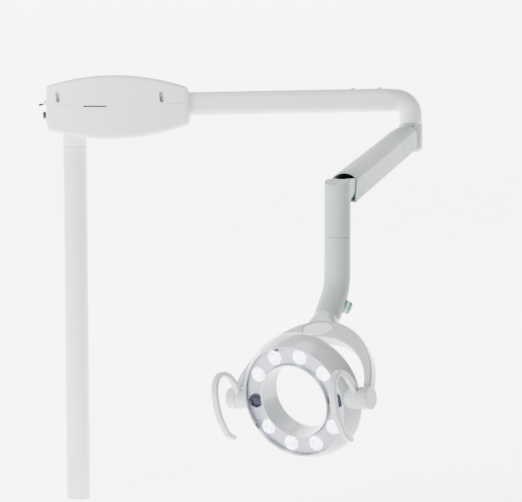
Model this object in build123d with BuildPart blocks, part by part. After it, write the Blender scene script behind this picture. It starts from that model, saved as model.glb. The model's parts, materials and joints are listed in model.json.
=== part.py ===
"""Post-mounted surgical light: post, swivelling boom, balanced spring arm and ring-shaped lamp head.

Origin at the centre of the post's lower end, +X along the boom, +Y to the back, +Z up, millimetres.
"""
from build123d import *
from math import cos, radians, sin, sqrt
import os

os.makedirs("parts", exist_ok=True)

# ---- post ----
POST_RADIUS = 25.0
POST_WALL = 3.0
POST_HEIGHT = 755.0
SEAM = 0.8  # open line between two turning bodies
FIT = 0.05  # radial clearance of a running fit

# ---- boom ----
BOOM_RISE = 1.1  # degrees that the boom is set above level
BOOM_Z = 841.5  # height of the boom's centre line over the post
BOOM_HEIGHT = 49.0
BOOM_WIDTH = 46.0
BOOM_CORNER = 13.0
BOOM_WALL = 3.0
BOOM_START = 96.0
BOOM_END = 663.0
ELBOW_X = 712.0
ELBOW_RADIUS = 23.5
ELBOW_BEND = 33.0
ELBOW_SEAM_Z = 806.0
SPINDLE_RADIUS = 13.0

# ---- control housing on the post ----
HOUSING_WALL = 3.0
HOUSING_LEFT = -57.0
HOUSING_RIGHT = 247.0
HOUSING_TOP = 904.5
HOUSING_BOTTOM = 772.0
HOUSING_DEPTH = 63.0  # half the depth at the widest place

# ---- spring arm ----
ARM_TURN = 19.5  # degrees that the arm is swung left of the front
ARM_REACH = 544.3  # level distance between the two knuckle axes
UPPER_PIVOT_Z = 776.0
LOWER_PIVOT_Z = 668.0
CASE_OFFSET = 9.0  # the casing's centre line above the pivot line
CASE_WIDTH = 50.0
CASE_HEIGHT = 54.0
CASE_SHOULDER = 14.0  # height at which the arched top springs
CASE_WALL = 2.5
CASE_START = 75.0
UPPER_HOOD_END = 168.0
LOWER_HOOD_START = 474.0
LINK_RISE = 12.0
PIVOT_RADIUS = 5.0

# ---- head tube ----
TUBE_RADIUS = 23.5
TUBE_WALL = 3.0
TUBE_SEAM_Z = 599.0
TUBE_CORNER_Z = 508.0
TUBE_TILT = 41.8  # degrees from vertical of the slanted end
TUBE_TURN = 27.2  # degrees left of the front of the slanted end
TUBE_BEND = 62.0
PIVOT_DISTANCE = 233.0  # tube corner to the centre of the head
YOKE_SEAM = 167.0  # yoke seam to the centre of the head

# ---- yoke ----
YOKE_ROLL = 8.6
YOKE_HALF_WIDTH = 141.0
YOKE_TOP = 152.0
YOKE_INNER_X = 124.0
YOKE_INNER_Y = 118.0
HUB_RADIUS = 19.2

# ---- lamp head ----
HEAD_TILT = 52.6
LENS_CIRCLE = 80.0
STATIONS = 10
FACE_RADIUS = 97.4
FACE_N = 21.0  # front face ahead of the pivot axis
BULGE_RADIUS = 110.5
BACK_N = -29.0
BORE_FRONT = 63.2
BORE_BACK = 60.3
BOSS_END = 114.0
LUG_START = 114.3
LUG_END = 122.6
HUB_START = 123.4


def unit(vector):
    return vector.normalized()


def write(piece, node):
    """Label a finished piece and write it under its node's name."""
    piece.part.label = node
    export_step(piece.part, f"parts/{node}.step")


def ring(node, plane, outer, inner, length):
    """A plain round sleeve or washer that grows from plane along its normal."""
    with BuildPart() as sleeve:
        with BuildSketch(plane):
            Circle(outer)
            Circle(inner, mode=Mode.SUBTRACT)
        extrude(amount=length)
    write(sleeve, node)


# ------------------------------------------------------------------ places
rise = radians(BOOM_RISE)
boom_dir = Vector(cos(rise), 0, sin(rise))
boom_up = Vector(-sin(rise), 0, cos(rise))
boom_origin = Vector(0, 0, BOOM_Z)


def dome_middle(radius, base, sag):
    """Return the point halfway out on a spherical cap that stands sag above its rim."""
    sphere = (radius ** 2 + sag ** 2) / (2 * sag)
    return (radius / 2, base + sag - sphere + sqrt(sphere ** 2 - radius ** 2 / 4))


def boom_point(x, up=0.0, y=0.0):
    """Point beside the boom's centre line, x along the boom."""
    return boom_origin + boom_dir * (x / cos(rise)) + boom_up * up + Vector(0, y, 0)


def boom_section(x):
    """Plane across the boom, with its sketch x to the back and its sketch y up."""
    return Plane(origin=boom_point(x), x_dir=(0, 1, 0), z_dir=boom_dir)


def boom_level(x, up):
    return Plane(origin=boom_point(x, up), x_dir=boom_dir, z_dir=boom_up)


turn = radians(ARM_TURN)
reach_dir = Vector(-sin(turn), -cos(turn), 0)
side_dir = Vector(cos(turn), -sin(turn), 0)
upper_pivot = Vector(ELBOW_X, 0, UPPER_PIVOT_Z)
column_foot = Vector(ELBOW_X, 0, 0) + reach_dir * ARM_REACH
lower_pivot = Vector(column_foot.X, column_foot.Y, LOWER_PIVOT_Z)
arm_dir = unit(lower_pivot - upper_pivot)
arm_up = arm_dir.cross(side_dir) * 1.0
arm_length = (lower_pivot - upper_pivot).length


def arm_section(s, up=CASE_OFFSET):
    """Plane across the spring arm at s from its upper pivot, sketch x to the right side."""
    return Plane(origin=upper_pivot + arm_dir * s + arm_up * up, x_dir=side_dir, z_dir=arm_dir)


def arm_side(w=0.0, s=0.0):
    """Side view plane of the spring arm, sketch x down the arm and sketch y up."""
    return Plane(origin=upper_pivot + side_dir * w + arm_dir * s, x_dir=arm_dir, z_dir=-side_dir)


def knuckle_side(pivot):
    """Upright side view plane through a pivot, sketch x towards the lamp and sketch y up."""
    return Plane(origin=pivot, x_dir=reach_dir, z_dir=-side_dir)


tube_tilt = radians(TUBE_TILT)
tube_turn = radians(TUBE_TURN)
slant_dir = Vector(-sin(tube_turn) * sin(tube_tilt), -cos(tube_turn) * sin(tube_tilt), -cos(tube_tilt))
tube_corner = Vector(column_foot.X, column_foot.Y, TUBE_CORNER_Z)
head_centre = tube_corner + slant_dir * PIVOT_DISTANCE
level_side = Vector(cos(tube_turn), -sin(tube_turn), 0)
roll = radians(YOKE_ROLL)
tilt_dir = unit(level_side * cos(roll) + slant_dir.cross(level_side) * sin(roll))
yoke_front = tilt_dir.cross(slant_dir * -1.0)
head_tilt = radians(HEAD_TILT)
head_front = unit(yoke_front * cos(head_tilt) + slant_dir * sin(head_tilt))
head_up = head_front.cross(tilt_dir)

yoke_plane = Plane(origin=head_centre, x_dir=tilt_dir, z_dir=yoke_front)
head_plane = Plane(origin=head_centre, x_dir=tilt_dir, z_dir=head_front)
head_radial = Plane(origin=head_centre, x_dir=tilt_dir, z_dir=head_up * -1.0)
head_axis = Axis(head_centre, head_front)
tilt_plane = Plane(origin=head_centre, x_dir=head_front, z_dir=tilt_dir)
slant_plane = Plane(origin=head_centre, x_dir=tilt_dir, z_dir=slant_dir * -1.0)

# ------------------------------------------------------------------ post
with BuildPart() as post_tube:
    with BuildSketch(Plane.XY):
        Circle(POST_RADIUS)
        Circle(POST_RADIUS - POST_WALL, mode=Mode.SUBTRACT)
    extrude(amount=POST_HEIGHT)
write(post_tube, "post_tube")

POST_BORE = POST_RADIUS - POST_WALL
BOOM_SPINDLE = 17.0
BUSH_FLANGE = 2.0
THRUST = 1.5
LOWER_BUSH_Z = 610.0
with BuildPart() as post_bushes:
    with BuildSketch(Plane.XY.offset(POST_HEIGHT)):
        Circle(22.9)
        Circle(BOOM_SPINDLE + FIT, mode=Mode.SUBTRACT)
    extrude(amount=BUSH_FLANGE)
    with BuildSketch(Plane.XY.offset(POST_HEIGHT), Plane.XY.offset(LOWER_BUSH_Z + 40)):
        Circle(POST_BORE)
        Circle(BOOM_SPINDLE + FIT, mode=Mode.SUBTRACT)
    extrude(amount=-40)
write(post_bushes, "post_bushes")
ring("thrust_washer", Plane.XY.offset(POST_HEIGHT + BUSH_FLANGE), 22.7, BOOM_SPINDLE + 0.3, THRUST)

# ------------------------------------------------------------------ boom: spindle and chassis
CHASSIS_Z = 797.0
BOARD_RISE = 12.0
with BuildPart() as boom_spindle:
    with BuildSketch(Plane.XY.offset(600)):
        Circle(BOOM_SPINDLE)
        Circle(BOOM_SPINDLE - 4, mode=Mode.SUBTRACT)
    extrude(amount=CHASSIS_Z - 600)
    with BuildSketch(Plane.XY.offset(POST_HEIGHT + BUSH_FLANGE + THRUST)):
        Circle(22.5)
        Circle(BOOM_SPINDLE - 0.5, mode=Mode.SUBTRACT)
    extrude(amount=6)
    with BuildSketch(Plane.XY.offset(CHASSIS_Z - 6)):
        Circle(29)
        Circle(BOOM_SPINDLE - 4, mode=Mode.SUBTRACT)
        with PolarLocations(24, 4, start_angle=45):
            Circle(2.6, mode=Mode.SUBTRACT)
    extrude(amount=6)
write(boom_spindle, "boom_spindle")

with BuildPart() as chassis_plate:
    with BuildSketch(Plane.XY.offset(CHASSIS_Z)):
        with Locations((66, 0)):
            RectangleRounded(178, 80, 6)
        Circle(BOOM_SPINDLE - 4, mode=Mode.SUBTRACT)
        with PolarLocations(24, 4, start_angle=45):
            Circle(2.6, mode=Mode.SUBTRACT)
    extrude(amount=4)
write(chassis_plate, "chassis_plate")

# the saddle grips the boom between two halves of one block and stands on the chassis plate
SADDLE_X = 110.0
SADDLE_LENGTH = 50.0
with BuildPart() as boom_saddle:
    with BuildSketch(Plane.XY.offset(CHASSIS_Z + 4)):
        with Locations((SADDLE_X + SADDLE_LENGTH / 2, 0)):
            RectangleRounded(SADDLE_LENGTH, 62, 5)
    extrude(amount=88)
    with BuildSketch(boom_section(SADDLE_X - 20)):
        RectangleRounded(BOOM_WIDTH + 0.1, BOOM_HEIGHT + 0.1, BOOM_CORNER)
    extrude(amount=SADDLE_LENGTH + 40, mode=Mode.SUBTRACT)
    with BuildSketch(Plane.XY.offset(CHASSIS_Z + 80)):
        with Locations((SADDLE_X + SADDLE_LENGTH / 2, 0)):
            with GridLocations(30, 16, 2, 2):
                Circle(3.1)
    extrude(amount=20, mode=Mode.SUBTRACT)
write(boom_saddle, "boom_saddle")

saddle_holes = [(SADDLE_X + SADDLE_LENGTH / 2 + 15 * i, 8 * j) for i in (-1, 1) for j in (-1, 1)]
with BuildPart() as chassis_screws:
    with BuildSketch(Plane.XY.offset(CHASSIS_Z - 9)):
        with PolarLocations(24, 4, start_angle=45):
            RegularPolygon(3.6, 6)
    extrude(amount=3)
    with BuildSketch(Plane.XY.offset(CHASSIS_Z - 6)):
        with PolarLocations(24, 4, start_angle=45):
            Circle(2.5)
    extrude(amount=10)
    with BuildSketch(Plane.XY.offset(CHASSIS_Z + 92)):
        with Locations(*saddle_holes):
            Circle(5)
    extrude(amount=4)
    with BuildSketch(Plane.XY.offset(CHASSIS_Z + 82)):
        with Locations(*saddle_holes):
            Circle(3)
    extrude(amount=10)
    with BuildSketch(Plane.XY.offset(CHASSIS_Z + 4)):
        with Locations((66, 0)):
            with GridLocations(38, 62, 2, 2):
                RegularPolygon(3, 6)
    extrude(amount=BOARD_RISE - 4)
write(chassis_screws, "chassis_screws")


# ------------------------------------------------------------------ boom: control housing
def housing_form(inset, rounding):
    """The housing's outer form moved inwards by inset: a side view crossed with a plan view."""
    with BuildPart() as form:
        with BuildSketch(Plane.XZ) as side_view:
            with BuildLine():
                ThreePointArc((HOUSING_LEFT + 3, 882), (97, HOUSING_TOP), (HOUSING_RIGHT - 9, 881.5))
                ThreePointArc((HOUSING_RIGHT - 9, 881.5), (HOUSING_RIGHT, 842), (HOUSING_RIGHT - 6, 802))
                ThreePointArc((HOUSING_RIGHT - 6, 802), (80, HOUSING_BOTTOM), (HOUSING_LEFT + 6, 790))
                ThreePointArc((HOUSING_LEFT + 6, 790), (HOUSING_LEFT, 838), (HOUSING_LEFT + 3, 882))
            make_face()
            offset(amount=-inset, kind=Kind.INTERSECTION)
            fillet(side_view.vertices(), 9 - inset)
        extrude(amount=HOUSING_DEPTH + 20, both=True)
        with BuildSketch(Plane.XY.offset(740)) as plan_view:
            with BuildLine():
                ThreePointArc((HOUSING_LEFT + 4, -46), (90, -HOUSING_DEPTH), (HOUSING_RIGHT - 8, -41))
                ThreePointArc((HOUSING_RIGHT - 8, -41), (HOUSING_RIGHT, 0), (HOUSING_RIGHT - 8, 41))
                ThreePointArc((HOUSING_RIGHT - 8, 41), (90, HOUSING_DEPTH), (HOUSING_LEFT + 4, 46))
                ThreePointArc((HOUSING_LEFT + 4, 46), (HOUSING_LEFT - 1, 0), (HOUSING_LEFT + 4, -46))
            make_face()
            offset(amount=-inset, kind=Kind.INTERSECTION)
            fillet(plan_view.vertices(), 12 - inset)
        extrude(amount=200, mode=Mode.INTERSECT)
        if rounding:
            fillet(form.edges(), rounding)
    return form.part


housing_outer = housing_form(0, 8)
housing_inner = housing_form(HOUSING_WALL, 0)
parting = Plane(origin=boom_origin, x_dir=boom_dir, z_dir=boom_up)
COVER_SCREWS = [(-29, 42.0), (187, 42.8)]
screw_places = [(x, side * y) for x, y in COVER_SCREWS for side in (-1, 1)]
BOSS_RADIUS = 7.5
TOGGLE_Y = 12.0
TOGGLE_Z = 849.0
FUSE_Y = -6.0
FUSE_Z = 822.0

# four screw bosses run from the floor to the roof and part with the two covers
with BuildPart() as boss_form:
    with BuildSketch(parting):
        with Locations(*screw_places):
            Circle(BOSS_RADIUS)
    extrude(amount=120, both=True)
    add(housing_outer, mode=Mode.INTERSECT)

with BuildPart() as housing_upper_cover:
    add(housing_outer)
    add(housing_inner, mode=Mode.SUBTRACT)
    add(boss_form.part)
    split(bisect_by=parting, keep=Keep.TOP)
    with BuildSketch(boom_section(200)):
        RectangleRounded(BOOM_WIDTH + 0.6, BOOM_HEIGHT + 0.6, BOOM_CORNER)
    extrude(amount=80, mode=Mode.SUBTRACT)
    for x, y in screw_places:
        outward = 1 if y > 0 else -1
        with BuildSketch(Plane.XZ.offset(-(y + outward * 14))):
            with Locations((x, 859)):
                SlotOverall(23, 8.5, rotation=-82)
        extrude(amount=outward * 14, mode=Mode.SUBTRACT)
    with BuildSketch(parting):
        with Locations(*screw_places):
            Circle(2.2)
    extrude(amount=12, mode=Mode.SUBTRACT)
    with BuildSketch(parting.offset(12)):
        with Locations(*screw_places):
            Circle(4.2)
    extrude(amount=14, mode=Mode.SUBTRACT)
    with BuildSketch(Plane.YZ.offset(HOUSING_LEFT - 6)):
        with Locations((TOGGLE_Y, TOGGLE_Z)):
            Circle(6.1)
    extrude(amount=14, mode=Mode.SUBTRACT)
write(housing_upper_cover, "housing_upper_cover")

SLOT_LENGTH = 50.0
with BuildPart() as housing_lower_cover:
    add(housing_outer)
    with BuildSketch(Plane.XY.offset(POST_HEIGHT + SEAM)):
        Circle(POST_RADIUS)
    extrude(amount=30)
    add(housing_inner, mode=Mode.SUBTRACT)
    add(boss_form.part)
    split(bisect_by=parting, keep=Keep.BOTTOM)
    with BuildSketch(parting):
        with Locations(*screw_places):
            Circle(2.05)
    extrude(amount=-26, mode=Mode.SUBTRACT)
    with BuildSketch(Plane.XY.offset(POST_HEIGHT)):
        Circle(23.2)
    extrude(amount=40, mode=Mode.SUBTRACT)
    with BuildSketch(boom_section(200)):
        RectangleRounded(BOOM_WIDTH + 0.6, BOOM_HEIGHT + 0.6, BOOM_CORNER)
    extrude(amount=80, mode=Mode.SUBTRACT)
    with BuildSketch(Plane.YZ.offset(HOUSING_LEFT - 6)):
        with Locations((FUSE_Y, FUSE_Z)):
            Circle(7.1)
        with Locations((TOGGLE_Y, TOGGLE_Z)):
            Circle(6.1)
    extrude(amount=14, mode=Mode.SUBTRACT)
    with BuildSketch(Plane.XZ.offset(70)):
        with Locations((50, 839.6)):
            Rectangle(SLOT_LENGTH, 3.2)
    extrude(amount=-20, mode=Mode.SUBTRACT)
write(housing_lower_cover, "housing_lower_cover")

with BuildPart() as cover_screws:
    with BuildSketch(parting.offset(12)):
        with Locations(*screw_places):
            Circle(3.8)
    extrude(amount=3)
    with BuildSketch(parting.offset(-24)):
        with Locations(*screw_places):
            Circle(2)
    extrude(amount=36)
write(cover_screws, "cover_screws")

with BuildPart() as vent_strip:
    with BuildSketch(Plane.XZ.offset(55.8)):
        with Locations((50, 839.2)):
            Rectangle(SLOT_LENGTH + 8, 12)
            Rectangle(SLOT_LENGTH - 4, 1.6, mode=Mode.SUBTRACT)
    extrude(amount=-2)
write(vent_strip, "vent_strip")

# power parts on the chassis
CORE_X = 6.0
with BuildPart() as transformer_core:
    with BuildSketch(Plane.XZ.offset(-19)):
        with Locations((CORE_X, CHASSIS_Z + 4 + 27)):
            Rectangle(64, 54)
            with GridLocations(34, 0, 2, 1):
                Rectangle(12, 34, mode=Mode.SUBTRACT)
    extrude(amount=38)
write(transformer_core, "transformer_core")

with BuildPart() as transformer_winding:
    with BuildSketch(Plane.XY.offset(CHASSIS_Z + 15)):
        with Locations((CORE_X, 0)):
            RectangleRounded(45, 62, 8)
            Rectangle(22.2, 38.2, mode=Mode.SUBTRACT)
    extrude(amount=32)
    with BuildSketch(Plane.XY.offset(CHASSIS_Z)):
        with Locations((CORE_X, 0)):
            Rectangle(70, 38.4)
    extrude(amount=80, mode=Mode.SUBTRACT)
    with BuildSketch(Plane.XY.offset(CHASSIS_Z + 15)):
        with Locations((CORE_X, 0)):
            with GridLocations(34, 0, 2, 1):
                Rectangle(11, 40)
    extrude(amount=32)
write(transformer_winding, "transformer_winding")

BOARD_Z = CHASSIS_Z + BOARD_RISE
with BuildPart() as driver_board:
    with BuildSketch(Plane.XY.offset(BOARD_Z)):
        with Locations((66, 0)):
            RectangleRounded(46, 70, 2)
    extrude(amount=1.6)
    with BuildSketch(Plane.XY.offset(BOARD_Z + 1.6)):
        with Locations((58, -20), (74, -20)):
            Circle(6)
    extrude(amount=18)
    with BuildSketch(Plane.XY.offset(BOARD_Z + 1.6)):
        with Locations((66, 4)):
            Rectangle(20, 14)
        with Locations((66, 24)):
            Rectangle(30, 9)
    extrude(amount=10)
write(driver_board, "driver_board")

# toggle switch and fuse holder in the left end
with BuildPart() as toggle_switch:
    with BuildSketch(Plane.YZ.offset(HOUSING_LEFT - 8.5)):
        with Locations((TOGGLE_Y, TOGGLE_Z)):
            Circle(5.9)
            Circle(4.7, mode=Mode.SUBTRACT)
    extrude(amount=20)
    with BuildSketch(Plane.YZ.offset(HOUSING_LEFT + 5)):
        with Locations((TOGGLE_Y, TOGGLE_Z)):
            RectangleRounded(13, 27, 1)
            Circle(4.7, mode=Mode.SUBTRACT)
    extrude(amount=6)
    with BuildSketch(Plane.YZ.offset(HOUSING_LEFT - 4.8)):
        with Locations((TOGGLE_Y, TOGGLE_Z)):
            RegularPolygon(10, 6)
            Circle(6.2, mode=Mode.SUBTRACT)
    extrude(amount=3.2)
    with BuildSketch(Plane.YZ.offset(HOUSING_LEFT - 1.6)):
        with Locations((TOGGLE_Y, TOGGLE_Z)):
            Circle(10.5)
            Circle(6.2, mode=Mode.SUBTRACT)
    extrude(amount=1.4)
write(toggle_switch, "toggle_switch")

# the bat swings about a cross pin inside the threaded neck
TOGGLE_SWING = 14.0
toggle_pivot = Vector(HOUSING_LEFT + 1.5, TOGGLE_Y, TOGGLE_Z)
toggle_dir = Vector(-cos(radians(TOGGLE_SWING)), 0, -sin(radians(TOGGLE_SWING)))
BAT_TIP = 3.0
toggle_plane = Plane(origin=toggle_pivot, x_dir=(0, 1, 0), z_dir=toggle_dir)
with BuildPart(mode=Mode.PRIVATE) as bat_form:
    with BuildSketch(Plane.XZ):
        with BuildLine():
            Polyline((0, -3), (1.5, -3), (1.5, 9), (BAT_TIP, 21))
            ThreePointArc((BAT_TIP, 21), dome_middle(BAT_TIP, 21, BAT_TIP), (0, 21 + BAT_TIP))
            Line((0, 21 + BAT_TIP), (0, -3))
        make_face()
    revolve(axis=Axis.Z)
with BuildPart() as toggle_bat:
    with Locations(toggle_plane.location):
        add(bat_form.part)
write(toggle_bat, "toggle_bat")

with BuildPart() as fuse_holder:
    with BuildSketch(Plane.YZ.offset(HOUSING_LEFT - 3)):
        with Locations((FUSE_Y, FUSE_Z)):
            Circle(9)
    extrude(amount=3)
    with BuildSketch(Plane.YZ.offset(HOUSING_LEFT)):
        with Locations((FUSE_Y, FUSE_Z)):
            Circle(7)
    extrude(amount=24)
    with BuildSketch(Plane.YZ.offset(HOUSING_LEFT - 3)):
        with Locations((FUSE_Y, FUSE_Z)):
            Circle(7.5)
    extrude(amount=-6)
    with BuildSketch(Plane.YZ.offset(HOUSING_LEFT - 9)):
        with Locations((FUSE_Y, FUSE_Z)):
            Rectangle(1.6, 10)
    extrude(amount=1.5, mode=Mode.SUBTRACT)
    with BuildSketch(Plane.YZ.offset(HOUSING_LEFT - 10)):
        with Locations((FUSE_Y, FUSE_Z)):
            with PolarLocations(7.6, 16):
                Circle(0.5)
    extrude(amount=5.5, mode=Mode.SUBTRACT)
write(fuse_holder, "fuse_holder")

# ------------------------------------------------------------------ boom: tube and elbow
with BuildPart() as boom_tube:
    with BuildSketch(boom_section(BOOM_START)):
        RectangleRounded(BOOM_WIDTH, BOOM_HEIGHT, BOOM_CORNER)
        RectangleRounded(BOOM_WIDTH - 2 * BOOM_WALL, BOOM_HEIGHT - 2 * BOOM_WALL, BOOM_CORNER - BOOM_WALL,
                         mode=Mode.SUBTRACT)
    extrude(amount=(BOOM_END - BOOM_START) / cos(rise))
    for x in (590.0, 645.0):
        with BuildSketch(boom_level(x, 10)):
            Circle(3.1)
        extrude(amount=20, mode=Mode.SUBTRACT)
write(boom_tube, "boom_tube")

elbow_top = boom_point(ELBOW_X)
elbow_path_start = boom_point(BOOM_END + 15)
with BuildPart() as boom_elbow:
    with BuildLine():
        FilletPolyline(elbow_path_start, elbow_top, Vector(ELBOW_X, 0, ELBOW_SEAM_Z), radius=ELBOW_BEND)
    with BuildSketch(boom_section(BOOM_END + 15)):
        Circle(ELBOW_RADIUS)
    sweep()
    with BuildSketch(boom_section(BOOM_END)):
        RectangleRounded(BOOM_WIDTH, BOOM_HEIGHT, BOOM_CORNER + 4)
    with BuildSketch(boom_section(BOOM_END + 15)):
        RectangleRounded(2 * ELBOW_RADIUS, 2 * ELBOW_RADIUS, ELBOW_RADIUS - 0.01)
    loft()
    with BuildSketch(boom_section(BOOM_END)):
        RectangleRounded(BOOM_WIDTH - 2 * BOOM_WALL - 0.2, BOOM_HEIGHT - 2 * BOOM_WALL - 0.2, 9.8)
    extrude(amount=-90)
    with BuildSketch(boom_section(BOOM_END - 90)):
        Circle(13)
    extrude(amount=90 + 30, mode=Mode.SUBTRACT)
    with BuildSketch(Plane(origin=(ELBOW_X, 0, ELBOW_SEAM_Z))):
        Circle(SPINDLE_RADIUS + 3)
    extrude(amount=34, mode=Mode.SUBTRACT)
    for x in (590.0, 645.0):
        with BuildSketch(boom_level(x, 12)):
            Circle(2.9)
        extrude(amount=20, mode=Mode.SUBTRACT)
write(boom_elbow, "boom_elbow")

with BuildPart() as elbow_screws:
    for x in (590.0, 645.0):
        with BuildSketch(Plane(origin=boom_point(x), x_dir=boom_dir, z_dir=(0, -1, 0))):
            with BuildLine():
                head_rise = BOOM_HEIGHT / 2
                Polyline((0, 14), (2.8, 14), (2.8, head_rise), (5.5, head_rise))
                ThreePointArc((5.5, head_rise), (3.8, head_rise + 2.2), (0, head_rise + 3))
                Line((0, head_rise + 3), (0, 14))
            make_face()
        revolve(axis=Axis(boom_point(x), boom_up))
        with BuildSketch(boom_level(x, BOOM_HEIGHT / 2 + 1.2)):
            RegularPolygon(1.9, 6)
        extrude(amount=4, mode=Mode.SUBTRACT)
write(elbow_screws, "elbow_screws")

elbow_seam = Plane(origin=(ELBOW_X, 0, ELBOW_SEAM_Z))
ring("elbow_bush", elbow_seam, SPINDLE_RADIUS + 3, SPINDLE_RADIUS + FIT, 32)

# ------------------------------------------------------------------ upper knuckle
COLUMN_HALF = 24.0
KNUCKLE_BOTTOM_Z = 744.0
SLOT_HALF = 11.6
SLOT_RADIUS = 14.0
upper_column = Plane(origin=(ELBOW_X, 0, KNUCKLE_BOTTOM_Z), x_dir=side_dir, z_dir=(0, 0, 1))
upper_side = knuckle_side(upper_pivot)


def tongue_slot(plane, opening, drop):
    """A fan-shaped slot that opens on the side where opening points and drops to its front."""
    far = 34 * opening
    with BuildPart(mode=Mode.PRIVATE) as slot:
        with BuildSketch(plane):
            Circle(SLOT_RADIUS)
            with BuildLine():
                Polyline((0, -SLOT_RADIUS), (far, -drop), (far, 28), (0, 20), (0, -SLOT_RADIUS))
            make_face()
        extrude(amount=SLOT_HALF, both=True)
    return slot.part


upper_tongue_room = tongue_slot(upper_side, 1, 40)
with BuildPart() as upper_knuckle:
    with BuildSketch(upper_column):
        RectangleRounded(2 * COLUMN_HALF, 2 * COLUMN_HALF, 19)
    extrude(amount=ELBOW_SEAM_Z - SEAM - KNUCKLE_BOTTOM_Z)
    fillet(upper_knuckle.faces().sort_by(Axis.Z)[0].edges(), 13)
    fillet(upper_knuckle.faces().sort_by(Axis.Z)[-1].edges(), 1)
    add(upper_tongue_room, mode=Mode.SUBTRACT)
    with BuildSketch(upper_side):
        with Locations((0, LINK_RISE)):
            Circle(5.6)
    extrude(amount=6, both=True, mode=Mode.SUBTRACT)
    with BuildSketch(upper_side):
        Circle(PIVOT_RADIUS + FIT)
        with Locations((0, LINK_RISE)):
            Circle(2.55)
    extrude(amount=17, both=True, mode=Mode.SUBTRACT)
    with BuildSketch(Plane(origin=(ELBOW_X, 0, ELBOW_SEAM_Z + 2))):
        Circle(SPINDLE_RADIUS)
    extrude(amount=-13, mode=Mode.SUBTRACT)
write(upper_knuckle, "upper_knuckle")

with BuildPart() as upper_spindle:
    with BuildSketch(Plane(origin=(ELBOW_X, 0, ELBOW_SEAM_Z - 11))):
        Circle(SPINDLE_RADIUS)
        Circle(SPINDLE_RADIUS - 4, mode=Mode.SUBTRACT)
    extrude(amount=11 + 33)
    with BuildSketch(Plane(origin=(ELBOW_X, 0, ELBOW_SEAM_Z + 32.2))):
        Circle(15.2)
        Circle(SPINDLE_RADIUS - 4, mode=Mode.SUBTRACT)
    extrude(amount=1.6)
write(upper_spindle, "upper_spindle")

with BuildPart() as upper_pins:
    with BuildSketch(upper_side):
        Circle(PIVOT_RADIUS)
        with Locations((0, LINK_RISE)):
            Circle(2.5)
    extrude(amount=17, both=True)
write(upper_pins, "upper_pins")

# ------------------------------------------------------------------ lower knuckle
lower_side = knuckle_side(lower_pivot)
lower_column = Plane(origin=(lower_pivot.X, lower_pivot.Y, TUBE_SEAM_Z + SEAM / 2), x_dir=side_dir, z_dir=(0, 0, 1))
COLUMN_TOP_BACK = 34.0
COLUMN_TOP_FRONT = 24.0
SHOULDER_BACK = 38.0  # reach of the two shoulders behind the column's axis
SHOULDER_HALF = 22.1
lower_tongue_room = tongue_slot(lower_side, -1, 27)
with BuildPart() as lower_knuckle:
    with BuildSketch(lower_column):
        Circle(TUBE_RADIUS)
    extrude(amount=LOWER_PIVOT_Z + 40 - TUBE_SEAM_Z)
    with BuildSketch(lower_side):
        with BuildLine():
            Polyline((-30, COLUMN_TOP_BACK), (-4, COLUMN_TOP_BACK - 1), (30, COLUMN_TOP_FRONT - 4),
                     (30, 60), (-30, 60), (-30, COLUMN_TOP_BACK))
        make_face()
    extrude(amount=30, both=True, mode=Mode.SUBTRACT)
    fillet(lower_knuckle.edges().filter_by_position(Axis.Z, LOWER_PIVOT_Z + 15, LOWER_PIVOT_Z + 45), 1.6)
    with BuildSketch(lower_side):
        with BuildLine():
            Polyline((-SHOULDER_BACK, 33.5), (-4, 32.5), (-4, 0), (-18, 0), (-SHOULDER_BACK, 12),
                     (-SHOULDER_BACK, 33.5))
        make_face()
    extrude(amount=SHOULDER_HALF, both=True)
    add(lower_tongue_room, mode=Mode.SUBTRACT)
    with BuildSketch(lower_side):
        with Locations((-SHOULDER_BACK / 2 - 10, 25)):
            Rectangle(SHOULDER_BACK - 20 + 30, 40)
    extrude(amount=SLOT_HALF, both=True, mode=Mode.SUBTRACT)
    with BuildSketch(lower_side):
        with Locations((0, LINK_RISE)):
            Circle(5.6)
    extrude(amount=6, both=True, mode=Mode.SUBTRACT)
    with BuildSketch(lower_side):
        Circle(PIVOT_RADIUS + FIT)
        with Locations((0, LINK_RISE)):
            Circle(2.55)
    extrude(amount=17, both=True, mode=Mode.SUBTRACT)
    with BuildSketch(Plane(origin=(lower_pivot.X, lower_pivot.Y, TUBE_SEAM_Z))):
        Circle(SPINDLE_RADIUS)
    extrude(amount=40, mode=Mode.SUBTRACT)
write(lower_knuckle, "lower_knuckle")

with BuildPart() as lower_pins:
    with BuildSketch(lower_side):
        Circle(PIVOT_RADIUS)
        with Locations((0, LINK_RISE)):
            Circle(2.5)
    extrude(amount=17, both=True)
write(lower_pins, "lower_pins")

tube_seam = Plane(origin=(lower_pivot.X, lower_pivot.Y, TUBE_SEAM_Z))
with BuildPart() as lower_spindle:
    with BuildSketch(tube_seam.offset(38)):
        Circle(SPINDLE_RADIUS)
        Circle(SPINDLE_RADIUS - 4, mode=Mode.SUBTRACT)
    extrude(amount=-38 - 43)
    with BuildSketch(tube_seam.offset(-43)):
        Circle(16)
        Circle(SPINDLE_RADIUS - 4, mode=Mode.SUBTRACT)
    extrude(amount=-3)
write(lower_spindle, "lower_spindle")

# ------------------------------------------------------------------ spring arm
PLATE_INNER = 6.0
PLATE_OUTER = 11.0


def case_solid(start, end, inset=0.0, corner=6.0):
    """A length of the casing's arched section, moved inwards by inset."""
    half = CASE_WIDTH / 2 - inset
    top = CASE_HEIGHT / 2 - inset
    bottom = -CASE_HEIGHT / 2 + inset
    with BuildPart(mode=Mode.PRIVATE) as case:
        with BuildSketch(arm_section(start)) as profile:
            with BuildLine():
                Line((-half, bottom), (half, bottom))
                Line((half, bottom), (half, CASE_SHOULDER))
                ThreePointArc((half, CASE_SHOULDER), (0, top), (-half, CASE_SHOULDER))
                Line((-half, CASE_SHOULDER), (-half, bottom))
            make_face()
            fillet(profile.vertices(), corner)
        extrude(amount=end - start)
    return case.part


LOWER_HOOD_END = arm_length - 12
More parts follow.
